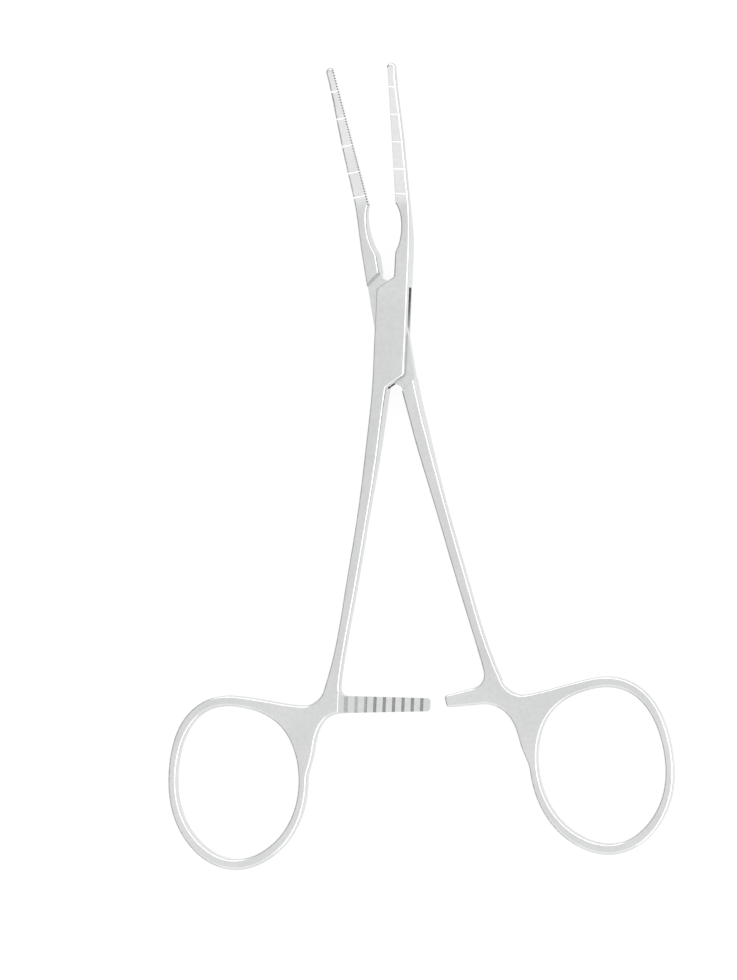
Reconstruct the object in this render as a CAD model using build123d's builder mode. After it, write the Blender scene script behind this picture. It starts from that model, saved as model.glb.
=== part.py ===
from build123d import *
from math import atan2, cos, degrees, radians, sin, tan
import os

os.makedirs("parts", exist_ok=True)

# Vascular clamp, millimetres. Two forged stainless halves cross in a box lock and turn on one pin.
# Each half is drawn in its closed position: y runs towards the tips, x is 0 on the clamping plane,
# z is 0 halfway through the thickness. The open pose turns each half by half the opening angle.

# Angle between the halves in the open pose, and thickness at the box
opening = 11.9
box_thick = 4.4

# Box lock, seen from above
box_half = 2.8
box_side_y = 7.35
box_corner_y = 9.57
box_corner_radius = 0.9
root_x = 0.25
root_radius = 0.8
notch_radius = 0.5
tongue_thick = 1.82
slot_play = 0.04
slot_end_gap = 0.4
shoulder_gap = 0.85
shoulder_lean = 12.0

# Pin with a countersunk end on each side, ground flush
pin_radius = 1.1
pin_play = 0.05
pin_head_flare = 0.45
pin_head_depth = 0.5

# Jaws: they leave the flat of the box at the bend and rise to the tip
face_gap = 0.05
jaw_heel_y = 13.5
jaw_low = (box_half - 0.37, 24.0)
jaw_mid = (box_half - 0.77, 34.0)
tip_y = 45.2
tip_radius = 0.75
tip_cut = 30.0
bend_y = 21.5
bend_radius = 12.0
rise = 26.7
jaw_base_thick = 1.7
jaw_tip_thick = 1.55

# Throat between the jaws and the box
root_top_y = 13.8
throat_x = box_half - 1.75
throat_y = 18.9
throat_top_y = 22.1
throat_lean = 0.5
throat_top_lean = 0.7

# Clamping teeth, and the measuring lines across the front of each jaw, counted from the tip
tooth_pitch = 0.5
tooth_depth = 0.25
line_first = 4.5
line_step = 5.0
line_count = 5
last_line = 24.05
line_width = 0.22
line_depth = 0.07

# Shanks: each station has its share of the shank's length, its inner edge and its width
shank_stations = [(0.2, -1.29, 2.3), (0.43, -2.82, 1.95), (0.66, -4.39, 1.89), (0.875, -6.0, 1.88)]
shank_thick = 2.5
taper_start_y = -12.0
taper_end_y = -32.0
shank_top_lean = 0.12
edge_radius = 0.5

# Handle: y of the top of the ratchet arms, and below it the finger ring's inner edge about its centre
handle_y = -63.1
ring_x = -24.0
ring_drop = 15.9
ring_spots = [
    (-1.0, 13.05),
    (-7.9, 10.4),
    (-10.9, 1.4),
    (-8.15, -8.9),
    (-0.6, -13.5),
    (7.25, -9.85),
    (10.95, 0.6),
    (8.2, 9.1),
]
ring_wire_side = 1.45
ring_wire_end = 1.85
rim_steps = 16
rim_last_step = 12

# Neck that joins shank, arm and ring: spots below the top of the ratchet arms,
# and spots that belong to the ring, about its centre
crotch_low = (-12.9, -2.05)
crotch_high = (-9.35, 0.6)
crotch_lean = 0.28
neck_spot = (-8.3, -3.8)
ring_shoulder = (4.7, 14.4)
ring_neck_spots = [(13.8, 9.0), (13.15, 4.8)]

# Ratchet arms: the long one lies behind the middle plane, the short one in front of it.
# Each arm's corners run from its root above, round its tip to its base below, counted from handle_y.
long_arm = [(-6.5, 0.0), (9.4, 0.45), (9.4, -1.8), (-5.3, -2.9)]
long_arm_root_radius = 1.3
short_arm = [(-6.5, 0.7), (1.1, -0.05), (0.9, -2.15), (-5.3, -2.55)]
short_arm_root_radius = 2.3
arm_tip_radius = 0.6
ratchet_pitch = 1.65
ratchet_depth = 0.35
ratchet_back = 0.65
ratchet_gap = 0.05
first_crest_x = -3.3
block_x = -6.65
block_drop = 0.12
block_end_x = -5.5
block_foot_x = -5.05
long_cut_over = 0.75
short_cut_over = 0.95
short_root_x = -5.0
pass_gap = 0.35

# Derived
front = box_thick / 2
mid_height = front
slant = atan2(box_corner_y - box_side_y, root_x + box_half)
slant_reach = box_side_y * cos(slant) + box_half * sin(slant)
pin_head_radius = pin_radius + pin_head_flare
lift = radians(rise)
jaw_length = (tip_y - bend_y) / cos(lift)
jaw_front_tip = front + (tip_y - bend_y) * tan(lift)
wide = 60.0
over = 1.0
stock_low = -front - over
stock_high = jaw_front_tip + over
touching = 0.01
long_arm_x = long_arm[1][0]
short_arm_x = short_arm[1][0]


def top_plane(side):
    """Middle plane of one half in the open pose; side 1 has its jaw on the right, side -1 on the left."""
    turn = radians(-side * opening / 2)
    return Plane(origin=(0, 0, mid_height), x_dir=(cos(turn), sin(turn), 0), z_dir=(0, 0, 1))


def upright_plane(side):
    """Plane through the pin along one half: its x runs towards the tips and its y runs up."""
    top = top_plane(side)
    return Plane(origin=top.origin, x_dir=top.y_dir, z_dir=top.x_dir)


def arm_plane(side, above):
    """Plane across one half, a little above its ratchet arm: its x runs to the right and its y runs up."""
    top = top_plane(side)
    across = Plane(origin=top.origin, x_dir=top.x_dir, z_dir=-top.y_dir)
    return across.offset(-handle_y - above)


def jaw_plane(side):
    """Plane on the middle line of the jaws: its x runs along the jaw's front, its y to the right."""
    top = top_plane(side)
    along = top.y_dir * cos(lift) + top.z_dir * sin(lift)
    start = top.origin + top.y_dir * bend_y + top.z_dir * front
    return Plane(origin=start, x_dir=along, z_dir=along.cross(top.x_dir))


def ring_hole(side):
    """Inner edge of the finger ring."""
    ring_y = handle_y - ring_drop
    spots = [(side * (ring_x + x), ring_y + y) for x, y in ring_spots]
    return Spline(spots, periodic=True, mode=Mode.PRIVATE)


def ring_rim(side, share):
    """Point and direction of the ring's outer edge, one wire width outside the inner edge."""
    hole = ring_hole(side)
    way = hole % share
    wire = ring_wire_side + (ring_wire_end - ring_wire_side) * cos(radians(360 * share)) ** 2
    return hole @ share + Vector(side * way.Y, -side * way.X) * wire, way * -1


def body_outline(side, arm, arm_root_radius):
    """Outline of one half, from the jaw tip round by the shank, ratchet arm and finger ring."""

    def at(x, y):
        return (side * x, y)

    def below(spot):
        return (side * spot[0], handle_y + spot[1])

    def about_ring(spot):
        return (side * (ring_x + spot[0]), handle_y - ring_drop + spot[1])

    arm_root, arm_top, arm_low, arm_base = arm
    cut = radians(tip_cut)
    tip_x = face_gap + tip_radius * cos(cut)
    shoulder_y = tip_y - tip_radius
    face_end_y = shoulder_y + tip_radius * sin(cut)
    shank_length = box_corner_y + handle_y
    inner = [at(x, share * shank_length - box_corner_y) for share, x, width in shank_stations]
    outer = [at(x - width, share * shank_length - box_corner_y) for share, x, width in shank_stations]
    rim = [ring_rim(side, step / rim_steps) for step in range(rim_last_step, -1, -1)]
    rim_spots = [spot for spot, way in rim]
    rim_ways = [way for spot, way in rim]
    neck = [below(neck_spot), *[about_ring(spot) for spot in ring_neck_spots]]
    arm_under = Vector(side * (arm_base[0] - arm_low[0]), arm_base[1] - arm_low[1]).normalized()
    crotch_way = (side * crotch_lean, 1)
    with BuildSketch() as drawing:
        with BuildLine():
            Line(at(face_gap, throat_top_y), at(face_gap, face_end_y))
            ThreePointArc(at(face_gap, face_end_y), at(tip_x, tip_y), at(tip_x + tip_radius, shoulder_y))
            Spline(
                [at(tip_x + tip_radius, shoulder_y), at(*jaw_mid), at(*jaw_low), at(box_half, jaw_heel_y)],
                tangents=[(0, -1), (0, -1)],
                tangent_scalars=(1, 1),
            )
            Line(at(box_half, jaw_heel_y), at(box_half, -box_side_y))
            Line(at(box_half, -box_side_y), at(-root_x, -box_corner_y))
            Spline(
                [at(-root_x, -box_corner_y), *inner, below(arm_root)],
                tangents=[(-side * shank_top_lean, -1), (0, -1)],
                tangent_scalars=(1, 1),
            )
            Polyline(below(arm_root), below(arm_top), below(arm_low), below(arm_base))
            Spline(
                [below(arm_base), *neck, rim_spots[0]],
                tangents=[arm_under, rim_ways[0]],
                tangent_scalars=(1, 1),
            )
            Spline(rim_spots, tangents=[rim_ways[0], rim_ways[-1]], tangent_scalars=(1, 1))
            Spline(
                [rim_spots[-1], about_ring(ring_shoulder), below(crotch_low)],
                tangents=[rim_ways[-1], (side, 0)],
                tangent_scalars=(1, 1),
            )
            Spline(
                [below(crotch_low), below(crotch_high)],
                tangents=[(side, 0), crotch_way],
                tangent_scalars=(1, 1),
            )
            Spline(
                [below(crotch_high), *reversed(outer), at(-box_half, -box_side_y)],
                tangents=[crotch_way, (0, 1)],
                tangent_scalars=(1, 1),
            )
            Line(at(-box_half, -box_side_y), at(-box_half, box_side_y))
            Line(at(-box_half, box_side_y), at(root_x, box_corner_y))
            Line(at(root_x, box_corner_y), at(root_x, root_top_y))
            Spline(
                [at(root_x, root_top_y), at(throat_x, throat_y), at(face_gap, throat_top_y)],
                tangents=[(side * throat_lean, 1), (-side * throat_top_lean, 1)],
                tangent_scalars=(1, 1),
            )
        make_face()
        for x, y, radius in (
            (box_half, -box_side_y, box_corner_radius),
            (-box_half, box_side_y, box_corner_radius),
            (root_x, box_corner_y, notch_radius),
            (-root_x, -box_corner_y, notch_radius),
            (root_x, root_top_y, root_radius),
            (arm_root[0], handle_y + arm_root[1], arm_root_radius),
            (arm_top[0], handle_y + arm_top[1], arm_tip_radius),
            (arm_low[0], handle_y + arm_low[1], arm_tip_radius),
        ):
            corner = drawing.vertices().sort_by_distance((side * x, y, 0))[0]
            fillet(corner, radius)
        add(make_face(ring_hole(side), mode=Mode.PRIVATE), mode=Mode.SUBTRACT)
    return drawing.sketch


def body_profile():
    """Side view of one half: thin rings and shanks, thick box, jaws rising out of the flat."""
    slope = tan(lift)
    end_y = tip_y + over
    end_front = front + (end_y - bend_y) * slope
    base_back = front + (throat_top_y - bend_y) * slope - jaw_base_thick / cos(lift)
    tip_back = jaw_front_tip - jaw_tip_thick / cos(lift)
    back_slope = (tip_back - base_back) / (tip_y - throat_top_y)
    end_back = tip_back + (end_y - tip_y) * back_slope
    heel_y = throat_top_y - (base_back + front) / back_slope
    half = shank_thick / 2
    low_y = -2 * wide
    with BuildSketch() as drawing:
        with BuildLine():
            Line((low_y, -half), (low_y, half))
            Line((low_y, half), (taper_end_y, half))
            Spline([(taper_end_y, half), (taper_start_y, front)], tangents=[(1, 0), (1, 0)])
            FilletPolyline((taper_start_y, front), (bend_y, front), (end_y, end_front), radius=bend_radius)
            Line((end_y, end_front), (end_y, end_back))
            FilletPolyline((end_y, end_back), (heel_y, -front), (taper_start_y, -front), radius=bend_radius)
            Spline([(taper_start_y, -front), (taper_end_y, -half)], tangents=[(-1, 0), (-1, 0)])
            Line((taper_end_y, -half), (low_y, -half))
        make_face()
    return drawing.sketch


def rim_edges(part, side):
    """Edges where an upright wall meets a front or back surface, apart from the sharp clamping face's."""
    across = top_plane(side).x_dir
    walls = []
    for face in part.faces():
        upright = abs(face.normal_at().Z) < touching
        clamping = face.geom_type == GeomType.PLANE and abs(face.center().dot(across) - side * face_gap) < touching
        if upright and not clamping:
            walls.append(face)
    caps = [face for face in part.faces() if abs(face.normal_at().Z) >= touching]
    cap_edges = set(ShapeList(caps).edges())
    return [edge for edge in ShapeList(walls).edges() if edge in cap_edges]


def pin_section():
    """Half section of the pin from its back end to its front end."""
    with BuildSketch() as drawing:
        with BuildLine():
            Polyline(
                (0, 0),
                (pin_head_radius, 0),
                (pin_radius, pin_head_depth),
                (pin_radius, box_thick - pin_head_depth),
                (pin_head_radius, box_thick),
                (0, box_thick),
                close=True,
            )
        make_face()
    return drawing.sketch


def jaw_teeth(side):
    """Row of V grooves across the clamping face of one jaw."""
    first = jaw_length - tip_radius * (1 - sin(radians(tip_cut)))
    count = int((first - (throat_top_y - bend_y)) / tooth_pitch)
    outside = -side * over
    low = -side * face_gap / 2
    deep = side * (face_gap + tooth_depth)
    spots = [(first, outside), (first, low)]
    for number in range(count):
        spots.append((first - (number + 0.5) * tooth_pitch, deep))
        spots.append((first - (number + 1) * tooth_pitch, low))
    spots.append((first - count * tooth_pitch, outside))
    with BuildSketch() as drawing:
        with BuildLine():
            Polyline(*spots, close=True)
        make_face()
    return drawing.sketch


def jaw_lines():
    """Measuring lines across the front of one jaw."""
    with BuildSketch() as drawing:
        for number in range(line_count):
            from_tip = min(line_first + number * line_step, last_line)
            with Locations((jaw_length - from_tip, 0)):
                Rectangle(line_width, wide)
    return drawing.sketch


def arm_cut(side, start, first_x, end_x):
    """Half thickness taken off a ratchet arm, leaving saw teeth: side 1 from the front, -1 from the back."""
    low = -ratchet_gap - ratchet_depth
    count = int((end_x - first_x) / ratchet_pitch) + 1
    spots = [(start[0][0], shank_thick), *start]
    for number in range(count):
        crest_x = first_x + number * ratchet_pitch
        spots.append((crest_x - ratchet_back, low))
        spots.append((crest_x, -ratchet_gap))
    spots.append((end_x + ratchet_pitch, -ratchet_gap))
    spots.append((end_x + ratchet_pitch, shank_thick))
    with BuildSketch() as drawing:
        with BuildLine():
            Polyline(*[(side * x, side * z) for x, z in spots], close=True)
        make_face()
    return drawing.sketch


# Drawings shared by the solids below
half_profile = body_profile()
pin_shape = pin_section()
lines_shape = jaw_lines()
female_outline = body_outline(1, long_arm, long_arm_root_radius)
block = [(block_x, shank_thick / 2), (block_x + block_drop, shank_thick / 2 - block_drop)]
block += [(block_end_x, shank_thick / 2 - block_drop), (block_foot_x, -ratchet_gap)]
female_arm_shape = arm_cut(1, block, first_crest_x, long_arm_x)
female_teeth_shape = jaw_teeth(1)
male_outline = body_outline(-1, short_arm, short_arm_root_radius)
male_arm_shape = arm_cut(-1, [(short_root_x, -ratchet_gap)], first_crest_x, short_arm_x)
male_teeth_shape = jaw_teeth(-1)

# Female half: box with a slot through it, left shank and ring, right jaw, long ratchet arm behind
with BuildPart() as female_half:
    with BuildSketch(top_plane(1).offset(stock_low)):
        add(female_outline)
    extrude(amount=stock_high - stock_low)
    with BuildSketch(upright_plane(1)):
        add(half_profile)
    extrude(amount=wide, both=True, mode=Mode.INTERSECT)
    fillet(rim_edges(female_half.part, 1), edge_radius)
    with BuildSketch(top_plane(1)):
        Rectangle(wide, 2 * (slant_reach + slot_end_gap), rotation=-degrees(slant))
    extrude(amount=tongue_thick / 2 + slot_play, both=True, mode=Mode.SUBTRACT)
    with BuildSketch(Plane.XZ):
        add(pin_shape)
    revolve(axis=Axis.Z, mode=Mode.SUBTRACT)
    with BuildSketch(arm_plane(1, long_cut_over)):
        add(female_arm_shape)
    extrude(amount=wide, mode=Mode.SUBTRACT)
    with BuildSketch(jaw_plane(1)):
        add(female_teeth_shape)
    extrude(amount=wide, both=True, mode=Mode.SUBTRACT)
    with BuildSketch(jaw_plane(1).offset(-box_half)):
        add(lines_shape)
    extrude(amount=box_half + line_depth, mode=Mode.SUBTRACT)

# Male half: thinned tongue inside the slot, right shank and ring, left jaw, short ratchet arm in front
with BuildPart() as male_half:
    with BuildSketch(top_plane(-1).offset(stock_low)):
        add(male_outline)
    extrude(amount=stock_high - stock_low)
    with BuildSketch(upright_plane(-1)):
        add(half_profile)
    extrude(amount=wide, both=True, mode=Mode.INTERSECT)
    fillet(rim_edges(male_half.part, -1), edge_radius)
    for way in (1, -1):
        with BuildSketch(top_plane(-1).offset(way * tongue_thick / 2)):
            Rectangle(wide, 2 * (slant_reach + shoulder_gap), rotation=degrees(slant))
        extrude(amount=way * box_thick, taper=-shoulder_lean, mode=Mode.SUBTRACT)
    with BuildSketch(top_plane(-1)):
        Circle(pin_radius + pin_play)
    extrude(amount=box_thick, both=True, mode=Mode.SUBTRACT)
    with BuildSketch(arm_plane(-1, short_cut_over)):
        add(male_arm_shape)
    extrude(amount=wide, mode=Mode.SUBTRACT)
    with BuildSketch(arm_plane(-1, short_cut_over)):
        Polygon(
            (long_arm_x + pass_gap, -shank_thick),
            (long_arm_x + pass_gap, ratchet_gap),
            (-short_root_x, ratchet_gap),
            (-short_root_x, -shank_thick),
            align=None,
        )
    extrude(amount=wide, mode=Mode.SUBTRACT)
    with BuildSketch(jaw_plane(-1)):
        add(male_teeth_shape)
    extrude(amount=wide, both=True, mode=Mode.SUBTRACT)
    with BuildSketch(jaw_plane(-1).offset(-box_half)):
        add(lines_shape)
    extrude(amount=box_half + line_depth, mode=Mode.SUBTRACT)

# Pivot pin: through both plates of the box and the tongue between them
with BuildPart() as pivot_pin:
    with BuildSketch(Plane.XZ):
        add(pin_shape)
    revolve(axis=Axis.Z)

female_half.part.label = "female_half"
export_step(female_half.part, "parts/female_half.step")
male_half.part.label = "male_half"
export_step(male_half.part, "parts/male_half.step")
pivot_pin.part.label = "pivot_pin"
export_step(pivot_pin.part, "parts/pivot_pin.step")
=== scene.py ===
import bpy
import math
from mathutils import Matrix, Vector

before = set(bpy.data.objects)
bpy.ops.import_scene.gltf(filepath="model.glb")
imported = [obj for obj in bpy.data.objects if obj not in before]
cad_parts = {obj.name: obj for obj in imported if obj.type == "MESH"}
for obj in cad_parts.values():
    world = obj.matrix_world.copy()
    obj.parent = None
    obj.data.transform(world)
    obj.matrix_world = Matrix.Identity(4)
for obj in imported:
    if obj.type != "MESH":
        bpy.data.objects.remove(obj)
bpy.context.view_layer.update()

# Camera: looks down on the clamp from a little to the right, through a long lens.
# The pin's axis and the scale are where the photograph has them.
mm = 0.001
image_width = 737
image_height = 980
pixels_per_mm = 5.8
pin_pixel_x = 392.4
pin_pixel_y = 332.5
pin_middle = Vector((0, 0, 2.2)) * mm
camera_tilt = math.radians(12.5)
camera_roll = math.radians(3.43)
camera_distance = 700 * mm
sensor_width = 36
nearest_seen = 10 * mm
farthest_seen = 20000 * mm

to_camera = Vector((
    math.sin(camera_tilt) * math.cos(camera_roll),
    -math.sin(camera_tilt) * math.sin(camera_roll),
    math.cos(camera_tilt),
))
camera_up = Vector((math.sin(camera_roll), math.cos(camera_roll), 0))
camera_right = camera_up.cross(to_camera)
aim = (
    pin_middle
    + camera_right * (image_width / 2 - pin_pixel_x) / pixels_per_mm * mm
    - camera_up * (image_height / 2 - pin_pixel_y) / pixels_per_mm * mm
)
camera_data = bpy.data.cameras.new("camera")
camera_data.sensor_width = sensor_width
camera_data.lens = sensor_width * camera_distance / (image_height / pixels_per_mm * mm)
camera_data.clip_start = nearest_seen
camera_data.clip_end = farthest_seen
camera = bpy.data.objects.new("camera", camera_data)
camera.matrix_world = (
    Matrix.Translation(aim + to_camera * camera_distance)
    @ Matrix((camera_right, camera_up, to_camera)).transposed().to_4x4()
)
bpy.context.scene.collection.objects.link(camera)
bpy.context.scene.camera = camera


# Female half: one stainless forging, ground, glass-bead blasted to a satin, and with a painted sheen
# round its ring.
# Its right jaw has measuring lines cut across the front, painted white as a painted highlight against the
# satin, and a row of teeth milled into the clamping face, whose groove walls carry a painted highlight
# and, where they open at the front, painted shade.

# The satin: slow clouds, a fine mottle and the grain that the glass beads leave
steel_colour = (0.655, 0.665, 0.66)
cloud_size = 9 * mm
cloud_shades = (0.96, 1.04)
cloud_detail = 3
mottle_size = 0.7 * mm
mottle_shades = (0.97, 1.03)
mottle_detail = 2
noise_low = 0.3
noise_high = 0.7
grain_size = 0.12 * mm
grain_detail = 2
smoothest = 0.18
roughest = 0.26
bump_height = 0.004 * mm
bump_strength = 0.25

# The rings are painted lighter than the shanks, as a painted sheen
shank_end_y = -56 * mm
ring_start_y = -72 * mm
painted_ring_sheen = 1.06

# The jaws: half the opening turns each one, and they rise out of the flat from the bend on
half_opening = math.radians(11.9) / 2
rise = math.radians(26.7)
bend_y = 21.5 * mm
tip_y = 45.2 * mm
front_z = 4.4 * mm

# Measuring lines, by distance from the jaw's tip, and the white of their painted highlight
line_places = [4.5 * mm, 9.5 * mm, 14.5 * mm, 19.5 * mm, 24.05 * mm]
line_half = 0.13 * mm
painted_line_highlight = (1, 1, 1, 1)

# Teeth: their row, by distance from the jaw's tip; a painted highlight on the groove walls, and painted
# shade where the grooves open at the front
tooth_row_middle = 13.15 * mm
tooth_row_half = 12.75 * mm
tooth_depth = 0.3 * mm
painted_tooth_highlight = (0.95, 0.95, 0.95, 1)
shaded_mouth_depth = 0.5 * mm
painted_mouth_shade = (0.03, 0.03, 0.03, 1)

# A surface faces a direction when more than this much of its normal lies along it
facing_limit = 0.5


def new_material(name):
    """A material with its shader nodes on, ready to be set."""
    material = bpy.data.materials.new(name)
    material.use_nodes = True
    return material


def put(tree, kind, inputs, **settings):
    """One shader node; each input gets a value, or follows another node's output."""
    node = tree.nodes.new(kind)
    for name, value in settings.items():
        setattr(node, name, value)
    for name, value in inputs.items():
        if isinstance(value, bpy.types.NodeSocket):
            tree.links.new(value, node.inputs[name])
        else:
            node.inputs[name].default_value = value
    return node


def reckon(tree, operation, *values):
    """One sum on numbers and outputs."""
    return put(tree, "ShaderNodeMath", dict(enumerate(values)), operation=operation).outputs["Value"]


def along_direction(tree, vector, direction):
    """How much of a vector lies along a direction."""
    node = put(tree, "ShaderNodeVectorMath", {0: vector, 1: direction}, operation="DOT_PRODUCT")
    return node.outputs["Value"]


def spread(tree, value, value_from, value_to, low, high):
    """Turns a span of values into another span."""
    node = put(tree, "ShaderNodeMapRange", {
        "Value": value, "From Min": value_from, "From Max": value_to, "To Min": low, "To Max": high,
    })
    return node.outputs["Result"]


def noise(tree, place, size, detail):
    """Even noise of a given size."""
    node = put(tree, "ShaderNodeTexNoise", {"Vector": place, "Scale": 1 / size, "Detail": detail})
    return node.outputs["Fac"]


def cover(tree, under, over, mask):
    """One colour over another where the mask is 1."""
    node = put(tree, "ShaderNodeMix", {"Factor": mask, "A": under, "B": over}, data_type="RGBA")
    return node.outputs["Result"]


def jaw_marks(tree, colour, place, normal, side):
    """Painted highlights on the measuring lines and tooth walls, and painted shade in the groove mouths,
    over the satin of the right jaw (side 1) or the left jaw (side -1).
    """
    turn = -side * half_opening
    along = Vector((-math.sin(turn) * math.cos(rise), math.cos(turn) * math.cos(rise), math.sin(rise)))
    facing = Vector((math.sin(turn) * math.sin(rise), -math.cos(turn) * math.sin(rise), math.cos(rise)))
    across = Vector((side * math.cos(turn), side * math.sin(turn), 0))
    bend = Vector((-math.sin(turn) * bend_y, math.cos(turn) * bend_y, front_z))
    jaw_end = bend.dot(along) + (tip_y - bend_y) / math.cos(rise)
    from_tip = reckon(tree, "SUBTRACT", jaw_end, along_direction(tree, place, along))

    # Painted highlight: the measuring lines are painted white on the jaw's front.
    lines = 0
    for line_place in line_places:
        line = reckon(tree, "COMPARE", from_tip, line_place, line_half)
        lines = reckon(tree, "MAXIMUM", lines, line)
    is_front = reckon(tree, "GREATER_THAN", along_direction(tree, normal, facing), facing_limit)
    colour = cover(tree, colour, painted_line_highlight, reckon(tree, "MULTIPLY", lines, is_front))

    # Painted highlight: the walls of the tooth grooves are painted near white.
    is_near_face = reckon(tree, "LESS_THAN", along_direction(tree, place, across), tooth_depth)
    slant = reckon(tree, "ABSOLUTE", along_direction(tree, normal, along))
    is_wall = reckon(tree, "GREATER_THAN", slant, facing_limit)
    in_row = reckon(tree, "COMPARE", from_tip, tooth_row_middle, tooth_row_half)
    teeth = reckon(tree, "MULTIPLY", reckon(tree, "MULTIPLY", is_near_face, is_wall), in_row)
    colour = cover(tree, colour, painted_tooth_highlight, teeth)

    # Painted shade: the groove walls are painted nearly black where the grooves open at the front.
    shaded_mouth_bottom = bend.dot(facing) - shaded_mouth_depth
    is_shaded_mouth = reckon(tree, "GREATER_THAN", along_direction(tree, place, facing), shaded_mouth_bottom)
    return cover(tree, colour, painted_mouth_shade, reckon(tree, "MULTIPLY", teeth, is_shaded_mouth))


def satin_steel(name, side=None):
    """Satin stainless steel with a painted sheen on the rings, and with the painted lines and teeth of
    the right jaw (side 1), the left jaw (side -1) or none.
    """
    steel = new_material(name)
    tree = steel.node_tree
    shader = tree.nodes["Principled BSDF"]
    shader.inputs["Metallic"].default_value = 1
    texture_place = put(tree, "ShaderNodeTexCoord", {})
    place = texture_place.outputs["Object"]

    clouds = noise(tree, place, cloud_size, cloud_detail)
    cloud_shade = spread(tree, clouds, noise_low, noise_high, *cloud_shades)
    mottle = noise(tree, place, mottle_size, mottle_detail)
    mottle_shade = spread(tree, mottle, noise_low, noise_high, *mottle_shades)
    y = put(tree, "ShaderNodeSeparateXYZ", {"Vector": place}).outputs["Y"]
    # Painted sheen: from the shanks to the rings the colour is painted lighter, and the satin colour
    # below carries it.
    ring_sheen_factor = spread(tree, y, shank_end_y, ring_start_y, 1, painted_ring_sheen)
    tone_and_sheen = reckon(tree, "MULTIPLY", reckon(tree, "MULTIPLY", cloud_shade, mottle_shade), ring_sheen_factor)
    satin = put(tree, "ShaderNodeVectorMath", {0: steel_colour, "Scale": tone_and_sheen}, operation="SCALE")
    colour = satin.outputs["Vector"]
    if side:
        colour = jaw_marks(tree, colour, place, texture_place.outputs["Normal"], side)
    tree.links.new(colour, shader.inputs["Base Color"])

    grain = noise(tree, place, grain_size, grain_detail)
    tree.links.new(spread(tree, grain, 0, 1, smoothest, roughest), shader.inputs["Roughness"])
    bump = put(tree, "ShaderNodeBump", {
        "Height": grain, "Strength": bump_strength, "Distance": bump_height,
    })
    tree.links.new(bump.outputs["Normal"], shader.inputs["Normal"])
    return steel


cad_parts["female_half"].material_slots[0].material = satin_steel("female satin steel", side=1)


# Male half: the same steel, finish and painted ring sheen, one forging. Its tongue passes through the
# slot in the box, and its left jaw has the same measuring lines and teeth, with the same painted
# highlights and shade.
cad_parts["male_half"].material_slots[0].material = satin_steel("male satin steel", side=-1)


# Pivot pin: stainless rod, riveted into the two plates of the box and ground flush,
# so that it takes the same satin as the plates round it.
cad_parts["pivot_pin"].material_slots[0].material = satin_steel("pin satin steel")


# Floor: plain white table that the clamp lies on, white to the camera and in the steel's reflections,
# with a faint shadow of the clamp.
floor_half = 3.0
floor_drop = 0.02 * mm
floor_glow = 0.9
floor_colour = (0.12, 0.12, 0.12, 1)
glow_colour = (1, 1, 1, 1)

floor_mesh = bpy.data.meshes.new("floor")
floor_mesh.from_pydata(
    [(x * floor_half, y * floor_half, -floor_drop) for x, y in ((-1, -1), (1, -1), (1, 1), (-1, 1))],
    [],
    [(0, 1, 2, 3)],
)
floor = bpy.data.objects.new("floor", floor_mesh)
bpy.context.scene.collection.objects.link(floor)
floor_white = new_material("white table")
floor_shader = floor_white.node_tree.nodes["Principled BSDF"]
floor_shader.inputs["Base Color"].default_value = floor_colour
floor_shader.inputs["Roughness"].default_value = 1
floor_shader.inputs["Specular IOR Level"].default_value = 0
floor_shader.inputs["Emission Color"].default_value = glow_colour
floor_shader.inputs["Emission Strength"].default_value = floor_glow
floor_mesh.materials.append(floor_white)


# Light: a white room of even light and three soft lamps. The right and far lamps brighten the edges
# that face them, and the weak near lamp lightens the rising jaws. A dark card low on the left,
# seen only in the steel, draws the left edges.
room_colour = (1, 1, 1, 1)
card_x = -0.5
card_half_length = 0.8
card_height = 0.24
card_colour = (0.2, 0.2, 0.2, 1)

world = bpy.data.worlds.new("white room")
world.use_nodes = True
world.node_tree.nodes["Background"].inputs["Color"].default_value = room_colour
world.node_tree.nodes["Background"].inputs["Strength"].default_value = 1
bpy.context.scene.world = world


def soft_lamp(name, place, width, height, brightness):
    """A soft rectangular lamp that faces the clamp; brightness is what it adds to the white room's 1."""
    data = bpy.data.lights.new(name, "AREA")
    data.shape = "RECTANGLE"
    data.size = width
    data.size_y = height
    data.energy = brightness * width * height * math.pi
    lamp = bpy.data.objects.new(name, data)
    towards_clamp = Vector(place).to_track_quat("Z", "Y").to_matrix().to_4x4()
    lamp.matrix_world = Matrix.Translation(place) @ towards_clamp
    bpy.context.scene.collection.objects.link(lamp)


soft_lamp("right lamp", place=(0.60, -0.20, 0.36), width=1.5, height=0.46, brightness=1.4)
soft_lamp("far lamp", place=(0.17, 0.64, 0.34), width=1.3, height=0.42, brightness=1.4)
soft_lamp("near lamp", place=(-0.12, -0.52, 0.42), width=0.7, height=0.5, brightness=0.22)

card_mesh = bpy.data.meshes.new("left card")
card_mesh.from_pydata(
    [
        (card_x, -card_half_length, 0),
        (card_x, card_half_length, 0),
        (card_x, card_half_length, card_height),
        (card_x, -card_half_length, card_height),
    ],
    [],
    [(0, 1, 2, 3)],
)
card = bpy.data.objects.new("left card", card_mesh)
bpy.context.scene.collection.objects.link(card)
card.visible_camera = False
card.visible_diffuse = False
card.visible_shadow = False
card_dark = new_material("dark card")
card_shader = card_dark.node_tree.nodes["Principled BSDF"]
card_shader.inputs["Base Color"].default_value = card_colour
card_shader.inputs["Roughness"].default_value = 1
card_mesh.materials.append(card_dark)

bpy.context.scene.view_settings.view_transform = "Standard"
